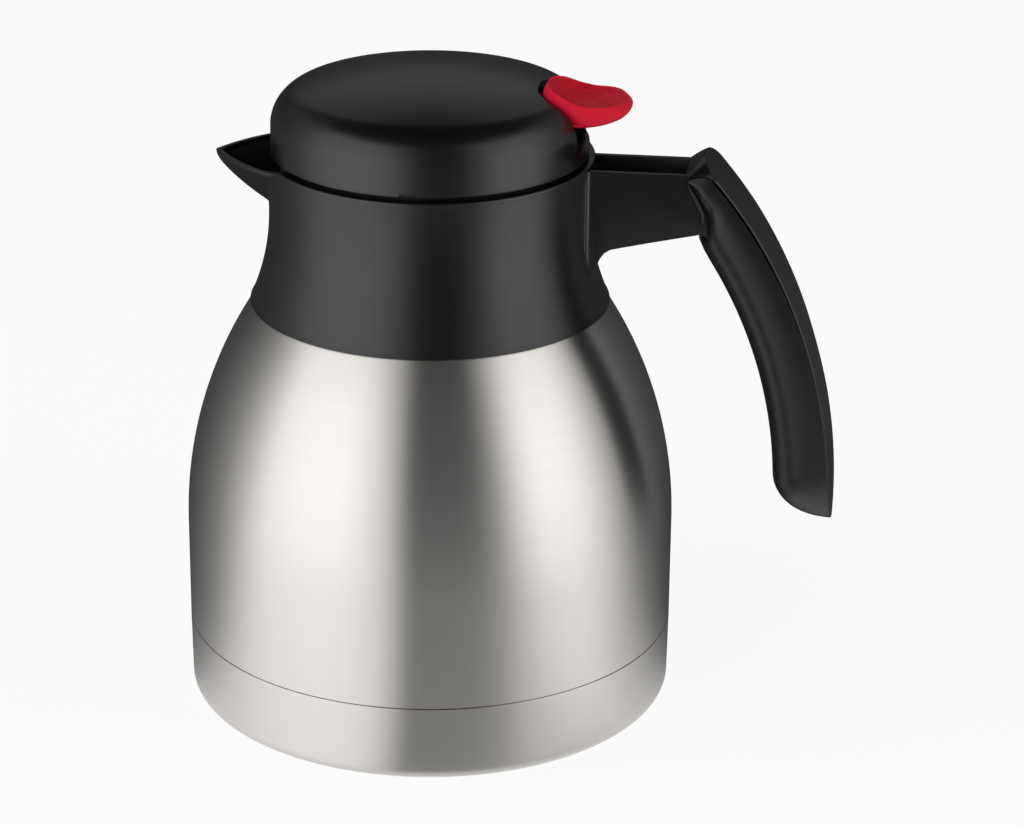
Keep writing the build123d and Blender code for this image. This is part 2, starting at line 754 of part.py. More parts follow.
def slot_tool():
    """Straight-sided slot with round front corners, open to the rear."""
    length = 60.0
    plan = Pos(slot_front_x + length / 2, 0) * RectangleRounded(length, slot_w, slot_corner_r)
    return Pos(0, 0, dome_z + slot_floor_h) * extrude(plan, amount=40)


def lid_dome():
    body = profile(dome_region(0, dome_z) - dome_region(dome_wall, dome_z - 1))
    seat_ring = tube(plate_r - 0.5, dome_r - dome_wall / 2, dome_z + slot_floor_h - 0.4, dome_z + slot_floor_h + 1.6)
    body += seat_ring
    boss = tube(spring_mean_r + spring_wire + 0.5, spring_mean_r + spring_wire + 2.0, spring_well_z - 3.4, spring_well_z)
    cap = tube(0, spring_mean_r + spring_wire + 2.0, spring_well_z, ceiling_z + dome_wall / 2)
    body += boss + (cap & profile(dome_region(dome_wall / 2, dome_z)))
    body -= slot_tool()
    radius = (notch_w ** 2 / 4 + notch_h ** 2) / (2 * notch_h)
    notch = Pos(0, -dome_r, dome_z + notch_h - radius) * Rot(90, 0, 0) * Cylinder(radius, dome_wall * 1.2)
    body -= notch
    return body - tube(0, plate_r + slip, dome_z - 1, dome_z + slot_floor_h - 0.4)


def return_spring():
    height = spring_well_z - spring_z
    path = Helix(pitch=(height - spring_wire) / spring_turns, height=height - spring_wire, radius=spring_mean_r)
    path = Pos(0, 0, spring_z + spring_wire / 2) * path
    section = Plane(path @ 0, z_dir=path % 0) * Circle(spring_wire / 2)
    return sweep(section, path)


def lever_pin():
    return Pos(pivot_x, 0, pivot_z) * Rot(90, 0, 0) * Cylinder(pin_r, pin_length)


pad_front_x = slot_front_x + lever_clear
pad_rear_x = dome_r + pad_overhang
pad_low_z = pivot_z + 5.6
pad_half_w = slot_w / 2 - lever_clear


def pad_side():
    """Side view of the thumb pad, drawn as (x, z)."""
    front_z = dome_top_z - 2.1
    low_x = pad_front_x + 8.6
    mid = (pad_front_x + 13.0, front_z - 3.4)
    return make_face([
        Line((pad_front_x - 1, front_z - 5.0), (pad_front_x - 1, front_z)),
        Line((pad_front_x - 1, front_z), (pad_front_x + 1.6, front_z)),
        ThreePointArc((pad_front_x + 1.6, front_z), mid, (pad_rear_x - 2.2, front_z - 3.4)),
        ThreePointArc((pad_rear_x - 2.2, front_z - 3.4), (pad_rear_x, front_z - 5.0), (pad_rear_x - 1.8, front_z - 6.8)),
        Line((pad_rear_x - 1.8, front_z - 6.8), (low_x + 3.0, pad_low_z)),
        Line((low_x + 3.0, pad_low_z), (low_x - 3.0, pad_low_z)),
        Line((low_x - 3.0, pad_low_z), (pad_front_x - 1, front_z - 5.0)),
    ])


def pad():
    length = pad_rear_x - pad_front_x
    middle_x = (pad_front_x + pad_rear_x) / 2
    low = Pos(middle_x, 0, pad_low_z) * RectangleRounded(length, 2 * pad_half_w, pad_corner_r)
    top_corner_r = pad_corner_r - pad_top_in
    top = Pos(middle_x, 0, dome_top_z) * RectangleRounded(
        length - 2 * pad_top_in, 2 * (pad_half_w - pad_top_in), top_corner_r)
    body = loft([low, top], ruled=True) & side_plate(pad_side(), pad_half_w + 1)
    dish_r = 26.0
    dish_z = dome_top_z - 6.9 + dish_r
    return body - Pos(middle_x + 0.6, 0, dish_z) * Sphere(dish_r)


def press_lever():
    neck_x = pivot_x
    web = outline((neck_x - 3.0, pivot_z), (neck_x + 3.0, pivot_z), (neck_x + 6.0, pad_low_z + 1.2),
                  (neck_x + 0.6, pad_low_z + 1.2))
    body = pad() + side_plate(web, ear_gap / 2 - free)
    hub = Pos(pivot_x, 0, pivot_z) * Rot(90, 0, 0) * Cylinder(lever_boss_r, ear_gap - 2 * free)
    bar = block(spring_seat_r, pivot_x, -fork_w / 2, fork_w / 2, pivot_z - arm_bar_t / 2, pivot_z + arm_bar_t / 2)
    body += hub
    body += bar
    for side in (-1, 1):
        inner = side * (stem_r + 0.5)
        outer = side * fork_w / 2
        middle = (inner + outer) / 2
        prong = block(0, spring_seat_r + 1, min(inner, outer), max(inner, outer),
                      pivot_z - arm_bar_t / 2, pivot_z + arm_bar_t / 2)
        tip = Pos(0, middle, pivot_z) * Rot(90, 0, 0) * Cylinder(arm_bar_t / 2, abs(outer - inner))
        body += prong
        body += tip
    return body - Pos(pivot_x, 0, pivot_z) * Rot(90, 0, 0) * Cylinder(pin_r + run_fit, 60)


nodes = {
    "outer_shell": outer_shell,
    "base_cap": base_cap,
    "vacuum_bottom": vacuum_bottom,
    "vacuum_plug": vacuum_plug,
    "getter": getter,
    "inner_liner": inner_liner,
    "radiation_foil": radiation_foil,
    "neck_seal": neck_seal,
    "collar": collar,
    "handle_grip": handle_grip,
    "grip_cover": grip_cover,
    "grip_screw": grip_screw,
    "stopper_seal": stopper_seal,
    "stopper_body": stopper_body,
    "stopper_insulation": stopper_insulation,
    "insulation_cover": insulation_cover,
    "stopper_top": stopper_top,
    "stem_seal": stem_seal,
    "top_screws": top_screws,
    "valve_stem": valve_stem,
    "valve_seal": valve_seal,
    "valve_disc": valve_disc,
    "spring_seat": spring_seat,
    "return_spring": return_spring,
    "lever_pin": lever_pin,
    "press_lever": press_lever,
    "lid_dome": lid_dome,
}


def main():
    os.makedirs("parts", exist_ok=True)
    for name, make in nodes.items():
        export_step(make(), f"parts/{name}.step")
    print("rim", round(rim_z, 2), "dome top", round(dome_top_z, 2), "valve lift", round(lift, 3))


main()
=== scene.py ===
import bpy
import json
from math import atan2, cos, degrees, hypot, pi, radians, sin, sqrt, tan
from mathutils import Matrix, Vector


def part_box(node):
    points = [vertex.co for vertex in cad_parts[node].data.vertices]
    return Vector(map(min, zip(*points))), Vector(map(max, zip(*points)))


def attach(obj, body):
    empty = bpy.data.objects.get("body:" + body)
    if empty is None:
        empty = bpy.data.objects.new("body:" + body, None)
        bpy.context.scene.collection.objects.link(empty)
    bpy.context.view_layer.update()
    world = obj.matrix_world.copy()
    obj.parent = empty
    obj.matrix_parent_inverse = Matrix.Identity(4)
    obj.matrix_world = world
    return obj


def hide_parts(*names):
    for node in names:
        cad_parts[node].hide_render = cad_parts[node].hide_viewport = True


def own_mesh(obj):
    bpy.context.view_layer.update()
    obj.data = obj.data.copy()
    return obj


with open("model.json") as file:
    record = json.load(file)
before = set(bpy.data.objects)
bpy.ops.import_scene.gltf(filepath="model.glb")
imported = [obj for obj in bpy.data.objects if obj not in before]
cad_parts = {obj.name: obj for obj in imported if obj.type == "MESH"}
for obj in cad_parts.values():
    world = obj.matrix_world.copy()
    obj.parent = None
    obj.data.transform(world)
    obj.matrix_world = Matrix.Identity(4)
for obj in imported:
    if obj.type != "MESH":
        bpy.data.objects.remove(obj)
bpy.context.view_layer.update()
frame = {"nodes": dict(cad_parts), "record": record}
nodes = frame["nodes"]
mm = 0.001
print("frame loaded,", len(nodes), "nodes")


# small modelling helpers, all sizes in mm

startR = 10.0  # radius of a circle whose points are all moved afterwards
poleR = 0.001  # stands for the axis until the pole's points are merged
weldGap = 0.002
cadWeldGap = 0.01


def halfWidth(nodeName):  # of a CAD piece, along Y
    return round(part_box(nodeName)[1][1] / mm, 2)


def lowest(nodeName):
    return round(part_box(nodeName)[0][2] / mm, 2)


def highest(nodeName):
    return round(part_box(nodeName)[1][2] / mm, 2)


def shareOf(value, start, end):  # 0 at the start, 1 at the end, and held there beyond them
    return min(max((value - start) / (end - start), 0.0), 1.0)


def between(value, knots):  # straight lines through the knots, level beyond them
    for (a0, b0), (a1, b1) in zip(knots, knots[1:]):
        if value <= a1:
            return b0 + (b1 - b0) * shareOf(value, a0, a1)
    return knots[-1][1]


def shares(steps):  # from 0 to 1 in even steps
    return [k / steps for k in range(steps + 1)]


def arcPoints(centre, radius, fromDeg, toDeg, steps):
    angles = [radians(fromDeg + (toDeg - fromDeg) * share) for share in shares(steps)]
    return [(centre[0] + radius * cos(a), centre[1] + radius * sin(a)) for a in angles]


def deselectAll():
    bpy.ops.object.select_all(action="DESELECT")


def makeActive(ob):
    deselectAll()
    ob.select_set(True)
    bpy.context.view_layer.objects.active = ob


def newCircle(name, sides, radius, height=0.0, fill="NOTHING"):
    deselectAll()
    bpy.ops.mesh.primitive_circle_add(vertices=sides, radius=radius * mm, location=(0, 0, height * mm),
                                      fill_type=fill)
    ob = bpy.context.object
    ob.name = ob.data.name = name
    bpy.ops.object.transform_apply(location=True, rotation=True, scale=True)
    bpy.ops.object.mode_set(mode="EDIT")
    return ob


def closeMesh():  # seams and poles are merged, then every face points out
    bpy.ops.mesh.select_all(action="SELECT")
    bpy.ops.mesh.remove_doubles(threshold=weldGap * mm)
    bpy.ops.mesh.normals_make_consistent(inside=False)
    bpy.ops.object.mode_set(mode="OBJECT")


def turnProfile(name, profile, sides):  # (radius, height) points turned about the axis
    r, z = profile[0]
    ob = newCircle(name, sides, r, z)
    for rNext, zNext in profile[1:]:
        rNext = max(rNext, poleR)
        bpy.ops.mesh.extrude_edges_move(TRANSFORM_OT_translate={"value": (0, 0, (zNext - z) * mm)})
        grow = rNext / r
        bpy.ops.transform.resize(value=(grow, grow, 1), center_override=(0, 0, zNext * mm))
        r, z = rNext, zNext
    closeMesh()
    return ob


# a flat outline pushed out from low to high; an upright one is drawn as (x, z) and pushed along Y
def plate(name, outline, low, high, upright=False):
    ob = newCircle(name, len(outline), startR, fill="NGON")
    bpy.ops.object.mode_set(mode="OBJECT")
    for v, (a, b) in zip(ob.data.vertices, outline):
        v.co = (a * mm, low * mm, b * mm) if upright else (a * mm, b * mm, low * mm)
    far = (high - low) * mm
    push = (0, far, 0) if upright else (0, 0, far)
    bpy.ops.object.mode_set(mode="EDIT")
    bpy.ops.mesh.select_all(action="SELECT")
    bpy.ops.mesh.extrude_region_move(TRANSFORM_OT_translate={"value": push})
    closeMesh()
    return ob


def stackRings(name, rings):  # closed body through rings of as many points each
    ob = newCircle(name, len(rings[0]), startR, fill="NGON")
    bpy.ops.mesh.select_all(action="SELECT")
    for _ in rings[1:]:
        bpy.ops.mesh.extrude_region_move(TRANSFORM_OT_translate={"value": (0, 0, mm)})
    bpy.ops.object.mode_set(mode="OBJECT")
    order = sorted(ob.data.vertices, key=lambda v: (round(v.co.z / mm), atan2(v.co.y, v.co.x)))
    for v, p in zip(order, [p for ring in rings for p in ring]):
        v.co = Vector(p) * mm
    bpy.ops.object.mode_set(mode="EDIT")
    closeMesh()
    return ob


def copyNode(nodeName, name):  # a CAD piece's mesh as a new piece, with its loose triangles merged
    ob = nodes[nodeName].copy()
    ob.data = ob.data.copy()
    ob.name = ob.data.name = name
    ob.parent = None
    for key in list(ob.keys()):
        del ob[key]
    bpy.context.scene.collection.objects.link(ob)
    makeActive(ob)
    bpy.ops.object.mode_set(mode="EDIT")
    bpy.ops.mesh.select_all(action="SELECT")
    bpy.ops.mesh.remove_doubles(threshold=cadWeldGap * mm)
    bpy.ops.object.mode_set(mode="OBJECT")
    return ob


def applyModifier(ob, kind, **settings):
    makeActive(ob)
    mod = ob.modifiers.new(kind.lower(), kind)
    for key, value in settings.items():
        setattr(mod, key, value)
    bpy.ops.object.modifier_apply(modifier=mod.name)


def thicken(ob, wall):  # the modelled skin stays the outside
    applyModifier(ob, "SOLIDIFY", thickness=wall * mm, offset=-1, use_even_offset=True)


def carve(ob, tool, operation="DIFFERENCE"):
    applyModifier(ob, "BOOLEAN", object=tool, operation=operation, solver="EXACT")
    bpy.data.objects.remove(tool)


def softenEdges(ob, width, angle=35):
    applyModifier(ob, "BEVEL", width=width * mm, segments=3, limit_method="ANGLE",
                  angle_limit=radians(angle), use_clamp_overlap=True)


def smooth(ob, angle=35):
    makeActive(ob)
    bpy.ops.object.shade_smooth_by_angle(angle=radians(angle))


def joinPieces(main, *others):
    makeActive(main)
    for other in others:
        other.select_set(True)
    bpy.ops.object.join()
    return main


# materials

def hexColor(value):  # sRGB hex to linear
    parts = [int(value[k:k + 2], 16) / 255 for k in (0, 2, 4)]
    return tuple(c / 12.92 if c <= 0.04045 else ((c + 0.055) / 1.055) ** 2.4 for c in parts) + (1.0,)


def addNode(tree, kind, links=None, **settings):
    node = tree.nodes.new(kind)
    for key, value in settings.items():
        if key in node.inputs:
            node.inputs[key].default_value = value
        else:
            setattr(node, key, value)
    for key, source in (links or {}).items():
        tree.links.new(source, node.inputs[key])
    return node


def newMaterial(name):
    mat = bpy.data.materials.new(name)
    mat.use_nodes = True
    tree = mat.node_tree
    tree.nodes.clear()
    return mat, tree


# real brushing is finer than lineMm, which is drawn so that it shows, and a line runs on for about 55 mm
steel = {"color": "d0cdc9", "roughness": 0.36, "uneven": 0.04, "anisotropic": 0.95, "turned": 0.25,
         "lineMm": 0.35, "runsPerMetre": 18, "bump": 0.04, "deepMm": 0.02}


def brushedStainless():
    # brushed stainless steel: lines run round the body and draw each reflection out into an upright band
    s = steel
    mat, tree = newMaterial("brushedStainless")
    coord = addNode(tree, "ShaderNodeTexCoord")
    stretch = addNode(tree, "ShaderNodeMapping", {"Vector": coord.outputs["Object"]},
                      Scale=(s["runsPerMetre"], s["runsPerMetre"], 1 / (s["lineMm"] * mm)))
    lines = addNode(tree, "ShaderNodeTexNoise", {"Vector": stretch.outputs["Vector"]},
                    Scale=1.0, Detail=2.0)
    rough = addNode(tree, "ShaderNodeMapRange", {"Value": lines.outputs["Fac"]})
    rough.inputs["To Min"].default_value = s["roughness"] - s["uneven"]
    rough.inputs["To Max"].default_value = s["roughness"] + s["uneven"]
    around = addNode(tree, "ShaderNodeTangent", direction_type="RADIAL", axis="Z")
    bump = addNode(tree, "ShaderNodeBump", {"Height": lines.outputs["Fac"]},
                   Strength=s["bump"], Distance=s["deepMm"] * mm)
    shader = addNode(tree, "ShaderNodeBsdfPrincipled", {
        "Roughness": rough.outputs["Result"], "Tangent": around.outputs["Tangent"],
        "Normal": bump.outputs["Normal"]}, Metallic=1.0, Anisotropic=s["anisotropic"])
    shader.inputs["Anisotropic Rotation"].default_value = s["turned"]
    shader.inputs["Base Color"].default_value = hexColor(s["color"])
    addNode(tree, "ShaderNodeOutputMaterial", {"Surface": shader.outputs["BSDF"]})
    return mat


plastic = {"uneven": 0.05, "cloudsPerMetre": 45.0, "bump": 0.25}


def mouldedPlastic(name, color, roughness, grainMm, deepMm, shade=0.06, ior=1.5, gloss=0.5):
    # moulded plastic: a fine spark-eroded grain, with slightly uneven gloss
    mat, tree = newMaterial(name)
    coord = addNode(tree, "ShaderNodeTexCoord")
    grain = addNode(tree, "ShaderNodeTexNoise", {"Vector": coord.outputs["Object"]},
                    Scale=1 / (grainMm * mm), Detail=2.0, Roughness=0.6)
    cloud = addNode(tree, "ShaderNodeTexNoise", {"Vector": coord.outputs["Object"]},
                    Scale=plastic["cloudsPerMetre"], Detail=3.0)
    rough = addNode(tree, "ShaderNodeMapRange", {"Value": cloud.outputs["Fac"]})
    rough.inputs["To Min"].default_value = roughness - plastic["uneven"]
    rough.inputs["To Max"].default_value = roughness + plastic["uneven"]
    # a colour mix takes its two colours at 6 and 7 and gives the mixed one at 2
    tone = addNode(tree, "ShaderNodeMix", {"Factor": grain.outputs["Fac"]}, data_type="RGBA")
    for socket, factor in ((6, 1 - shade), (7, 1 + shade)):
        tone.inputs[socket].default_value = tuple(c * factor for c in hexColor(color)[:3]) + (1.0,)
    bump = addNode(tree, "ShaderNodeBump", {"Height": grain.outputs["Fac"]},
                   Strength=plastic["bump"], Distance=deepMm * mm)
    shader = addNode(tree, "ShaderNodeBsdfPrincipled", {
        "Base Color": tone.outputs[2], "Roughness": rough.outputs["Result"],
        "Normal": bump.outputs["Normal"]}, IOR=ior)
    shader.inputs["Specular IOR Level"].default_value = gloss
    addNode(tree, "ShaderNodeOutputMaterial", {"Surface": shader.outputs["BSDF"]})
    return mat


# painted shade in the thumb's dish: both speck reds are darker than the plain red, the specks themselves are
# grain
dishShadeAndGrain = {"middle": (40.5, 0, 166.0), "reach": (10.4, 10.4, 60.0), "edge": 0.06, "speckMm": 0.6,
             "dark": "9a0c20", "light": "cc162c"}


def shadeAndGrainTheDish(mat):
    # red ABS: the thumb's dish is painted darker as painted shade, and speckled with a coarser grain than
    # the sides
    d = dishShadeAndGrain
    tree = mat.node_tree
    shader = next(node for node in tree.nodes if node.type == "BSDF_PRINCIPLED")
    plain = shader.inputs["Base Color"].links[0].from_socket
    coord = addNode(tree, "ShaderNodeTexCoord")
    middle = addNode(tree, "ShaderNodeMapping", {"Vector": coord.outputs["Object"]}, vector_type="TEXTURE",
                     Location=Vector(d["middle"]) * mm, Scale=Vector(d["reach"]) * mm)
    inside = addNode(tree, "ShaderNodeTexGradient", {"Vector": middle.outputs["Vector"]},
                     gradient_type="SPHERICAL")
    share = addNode(tree, "ShaderNodeMapRange", {"Value": inside.outputs["Fac"]})
    share.inputs["From Max"].default_value = d["edge"]
    specks = addNode(tree, "ShaderNodeTexVoronoi", {"Vector": coord.outputs["Object"]},
                     Scale=1 / (d["speckMm"] * mm))
    # the specks' dark and light reds carry the dish's painted shade as well as its grain
    tone = addNode(tree, "ShaderNodeMix", {"Factor": specks.outputs["Distance"]}, data_type="RGBA")
    tone.inputs[6].default_value = hexColor(d["dark"])
    tone.inputs[7].default_value = hexColor(d["light"])
    # inside the dish the painted shade and speckled grain replace the plain red
    both = addNode(tree, "ShaderNodeMix", {"Factor": share.outputs["Result"], 6: plain, 7: tone.outputs[2]},
                   data_type="RGBA")
    tree.links.new(both.outputs[2], shader.inputs["Base Color"])
    return mat


sheetMetal = {"uneven": 0.06, "bump": 0.06, "deepMm": 0.1}


def plainMetal(name, color, roughness, patchMm):
    # sheet or drawn metal: even gloss with faint rolling marks
    mat, tree = newMaterial(name)
    coord = addNode(tree, "ShaderNodeTexCoord")
    marks = addNode(tree, "ShaderNodeTexNoise", {"Vector": coord.outputs["Object"]},
                    Scale=1 / (patchMm * mm), Detail=4.0)
    rough = addNode(tree, "ShaderNodeMapRange", {"Value": marks.outputs["Fac"]})
    rough.inputs["To Min"].default_value = roughness - sheetMetal["uneven"]
    rough.inputs["To Max"].default_value = roughness + sheetMetal["uneven"]
    bump = addNode(tree, "ShaderNodeBump", {"Height": marks.outputs["Fac"]},
                   Strength=sheetMetal["bump"], Distance=sheetMetal["deepMm"] * mm)
    shader = addNode(tree, "ShaderNodeBsdfPrincipled", {
        "Roughness": rough.outputs["Result"], "Normal": bump.outputs["Normal"]}, Metallic=1.0)
    shader.inputs["Base Color"].default_value = hexColor(color)
    addNode(tree, "ShaderNodeOutputMaterial", {"Surface": shader.outputs["BSDF"]})
    return mat


materials = {
    "brushed_steel": brushedStainless(),
    "plain_steel": plainMetal("rolledStainless", "bdbbb8", 0.28, 3.0),  # clear but slightly wavy gloss
    "metal_foil": plainMetal("aluminiumFoil", "dcdad6", 0.18, 1.5),  # bright and finely crumpled
    "getter_alloy": plainMetal("sinteredAlloy", "5b5854", 0.6, 0.4),  # dull and grainy
    "black_plastic": mouldedPlastic("blackAbs", "060606", 0.3, 0.35, 0.02, ior=1.54),  # satin black
    "dark_plastic": mouldedPlastic("darkPolypropylene", "1a1a1b", 0.5, 0.6, 0.01),  # soft sheen, greyer
    "red_plastic": shadeAndGrainTheDish(mouldedPlastic("redAbs", "cc1a32", 0.42, 0.35, 0.012, 0.03, gloss=0.08)),
    "grey_silicone": mouldedPlastic("greySilicone", "a8a7a4", 0.6, 0.8, 0.01),  # flat, slightly waxy
    "white_foam": mouldedPlastic("whiteFoam", "e2e0da", 0.85, 0.9, 0.15),  # chalky with open cells
    "spring_steel": plainMetal("springSteel", "a9a9ab", 0.3, 0.5),  # drawn wire, grey gloss
    "zinc_steel": plainMetal("zincPlatedSteel", "b4b6ba", 0.35, 0.4),  # bluish satin
}

slotOf = {part["node"]: part["material_slot"] for part in frame["record"]["subparts"]}


def paint(ob, mat):
    ob.data.materials.clear()
    ob.data.materials.append(mat)


def place(ob, body, slotName, *replaced):
    paint(ob, materials[slotName])
    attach(ob, body)
    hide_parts(*replaced)


for nodeName, node in nodes.items():
    paint(node, materials[slotOf[nodeName]])
print("materials made:", len(materials))


# steel flask, with a fine slit between the shell and the base

flask = {"bodyR": halfWidth("outer_shell"), "seamZ": lowest("outer_shell"), "lipZ": highest("outer_shell"),
         "wallTop": 48.0, "shoulderR": 111.0, "shoulderEnd": 1.4, "ledgeZ": 112.0,
         "ledge": ((44.2, 0), (42.6, 0.6), (38.2, 2.6), (37.0, 3.8)), "neckR": 37.0, "seamHalf": 0.14,
         "seamDeep": 0.55, "edge": 0.05, "sheet": 0.6, "sides": 224}
foot = {"outR": 64.76, "taper": 16.0, "cornerR": 3.6, "ringIn": 53.0, "recess": 1.8, "foldWide": 0.5,
        "foldHigh": 0.15, "discRings": (40, 28, 16, 6, 0)}


def makeShell():
    f = flask
    centre = (f["bodyR"] - f["shoulderR"], f["wallTop"])
    climb = f["ledgeZ"] - f["shoulderEnd"] - centre[1]
    endDeg = degrees(atan2(climb, sqrt(f["shoulderR"] ** 2 - climb ** 2)))
    low = f["seamZ"] + f["seamHalf"]
    profile = [(f["bodyR"] - f["edge"], low), (f["bodyR"], low + f["edge"])]
    profile += [(f["bodyR"], f["wallTop"] * k / 10) for k in range(5, 10)]
    profile += arcPoints(centre, f["shoulderR"], 0, endDeg, 48)
    profile += [(r, f["ledgeZ"] + rise) for r, rise in f["ledge"]]
    profile.append((f["neckR"], f["lipZ"]))
    shell = turnProfile("outerShell", profile, f["sides"])
    thicken(shell, f["sheet"])
    smooth(shell)
    place(shell, "jug", "brushed_steel", "outer_shell")


def makeBase():
    f, b = flask, foot
    top = f["seamZ"] - f["seamHalf"]
    behind = f["bodyR"] - f["seamDeep"]
    profile = [(behind, top + 2 * f["seamHalf"]), (behind, top), (f["bodyR"] - f["edge"], top),
               (f["bodyR"], top - f["edge"])]
    profile += [(b["outR"] + (f["bodyR"] - b["outR"]) * k / 4, b["cornerR"] + b["taper"] * k / 4)
                for k in (4, 3, 2, 1)]
    profile += arcPoints((b["outR"] - b["cornerR"], b["cornerR"]), b["cornerR"], 0, -90, 12)
    innerR = b["ringIn"] - b["recess"]
    profile += [(b["ringIn"] + b["foldWide"], 0), (b["ringIn"], b["foldHigh"]),
                (innerR, b["recess"] - b["foldHigh"]), (innerR - b["foldWide"], b["recess"])]
    profile += [(r, b["recess"]) for r in b["discRings"]]
    cap = turnProfile("baseCap", profile, f["sides"])
    thicken(cap, f["sheet"])
    smooth(cap)
    place(cap, "jug", "brushed_steel", "base_cap")


makeShell()
makeBase()
print("flask made")


# collar with the spout and the arm

collarSize = {"footZ": lowest("collar"), "footR": halfWidth("collar"), "footIn": 46.55, "waistZ": 134.4,
              "waistR": 41.9, "rimZ": highest("collar"), "rimR": 42.7, "rimFlat": 1.0, "boreR": 39.7,
              "deckZ": lowest("stopper_seal"), "edge": 0.4, "footLevel": 1.2, "rimLevel": 0.9,
              "boreLevel": 1.2, "boreStep": 0.9, "sides": 288, "smoothDeg": 40,
              # under the deck: the flange, the groove for the flask's neck and the slope to the foot
              "inside": ((34.8, 124.0), (37.2, 124.0), (37.2, 116.0), (39.2, 116.0), (39.2, 121.0),
                         (40.9, 121.0), (45.3, 112.9))}
spout = {"keelZ": 133.4, "reach": 13.7, "halfDeg": 30.0, "keelShare": 0.1, "widen": 1.5, "power": 1.65,
         "keelSoft": 0.08, "wall": 1.6, "wallFade": 3, "drop": 1.55, "dropZ": 139.0, "dropDeg": (23, 35),
         "farthest": 0.7, "boreSlack": 0.2}


def collarRadius(z):  # two arcs that meet upright at the waist
    c = collarSize
    height, spread = (c["waistZ"] - c["footZ"], c["footR"] - c["waistR"]) if z < c["waistZ"] else (
        c["rimZ"] - c["waistZ"], c["rimR"] - c["waistR"])
    r = (spread ** 2 + height ** 2) / (2 * spread)
    return c["waistR"] + r - sqrt(r * r - (z - c["waistZ"]) ** 2)


def spoutOut(z, off):  # how far the spout pulls the wall out at this height and angle from its middle
    s = spout
    share = shareOf(z, s["keelZ"], collarSize["rimZ"] - s["drop"])
    half = radians(s["halfDeg"]) * (s["keelShare"] + (1 - s["keelShare"]) * share ** s["widen"])
    soft = s["keelSoft"]
    inward = max(1 - off / half, 0.0)
    inward = (sqrt(inward ** 2 + soft ** 2) - soft) / (sqrt(1 + soft ** 2) - soft)
    return s["reach"] * (1 - (1 - share) ** s["power"]) * inward


def lipDip(off):  # height taken off the rim at the spout
    share = shareOf(degrees(off), *spout["dropDeg"])
    return spout["drop"] * (1 - share * share * (3 - 2 * share))


def pullSpout(ob):
    c, s = collarSize, spout
    for v in ob.data.vertices:
        x, y, z = v.co / mm
        r = hypot(x, y)
        off = abs(atan2(y, -x))
        if z < s["keelZ"] or off > s["farthest"] or r < c["boreR"] - s["boreSlack"]:
            continue
        skin = collarRadius(z)
        outer = skin + spoutOut(z, off)
        below = spoutOut(z - s["wall"] * min(1.0, (c["rimZ"] - z) / s["wallFade"]), off)
        thick = skin - c["boreR"]
        thinner = (thick - s["wall"]) * min(1.0, below / s["wallFade"])
        inner = max(skin + below - thick + thinner, c["boreR"])
        target = inner + (outer - inner) * (r - c["boreR"]) / thick
        level = shareOf(z, s["dropZ"], c["rimZ"])
        v.co = (x * target / r * mm, y * target / r * mm, (z - lipDip(off) * level ** 2) * mm)


def makeCollar():
    c = collarSize
    e = c["edge"]
    low, high = c["footZ"] + c["footLevel"], c["rimZ"] - c["rimLevel"]
    profile = [(c["footIn"], c["footZ"])]
    profile += arcPoints((c["footR"] - e, c["footZ"] + e), e, -90, -5, 4)
    profile += [(collarRadius(z), z) for z in [low + (high - low) * share for share in shares(44)]]
    profile += arcPoints((c["rimR"] - e, c["rimZ"] - e), e, 0, 90, 5)
    profile += [(c["rimR"] - c["rimFlat"], c["rimZ"]), (c["boreR"] + c["rimFlat"], c["rimZ"])]
    profile += arcPoints((c["boreR"] + e, c["rimZ"] - e), e, 90, 180, 4)
    profile += [(c["boreR"], c["rimZ"] - c["boreLevel"] - c["boreStep"] * k) for k in range(20)]
    profile += [(c["boreR"], c["deckZ"]), (c["inside"][0][0], c["deckZ"])]
    profile += list(c["inside"]) + [(c["footIn"], c["footZ"])]
    ring = turnProfile("collar", profile, c["sides"])
    pullSpout(ring)
    return ring


armSize = {"width": 16.3, "rootR": 1.3, "rimR": 42.45, "rootX": 38.0, "rootHalf": 14.0,
           "rootStep": (1.2, 0.2), "topZ": 148.2, "lowZ": 114.0, "farX": 80.0, "wall": 1.9,
           "channelX": (41.4, 67.3), "floorZ": 130.6, "floorRise": 3.3, "edge": 0.3, "cutHalf": 40,
           "above": 5, "channelAbove": 3,
           # from the collar along the underside and round the tip, as (x, z)
           "underside": [(38.0, 120.4), (43.5, 120.4), (44.0, 121.8), (44.6, 123.3), (45.3, 124.9),
                         (46.3, 126.3), (47.8, 127.3), (49.5, 127.75), (57.0, 129.5), (64.7, 131.2)],
           "tip": [(70.7, 132.5), (72.2, 132.1), (73.4, 130.6), (75.0, 129.4), (76.6, 131.0), (75.6, 139.0),
                   (71.6, 146.4)], "tipTop": (68.6, 68.0)}


def armPlan():  # seen from above, with a fillet where the arm leaves the collar
    a = armSize
    half = a["width"] / 2
    r = a["rootR"]
    across = half + r
    flareX = sqrt((a["rimR"] + r) ** 2 - across ** 2)
    fromDeg = degrees(atan2(across, flareX)) + 180
    side = arcPoints((flareX, across), r, fromDeg, 270, 8)
    back, out = a["rootStep"]
    plan = [(a["rootX"], a["rootHalf"]), (side[0][0] - back, side[0][1] + out)] + side + [(a["farX"], half)]
    return plan + [(x, -y) for x, y in reversed(plan)]


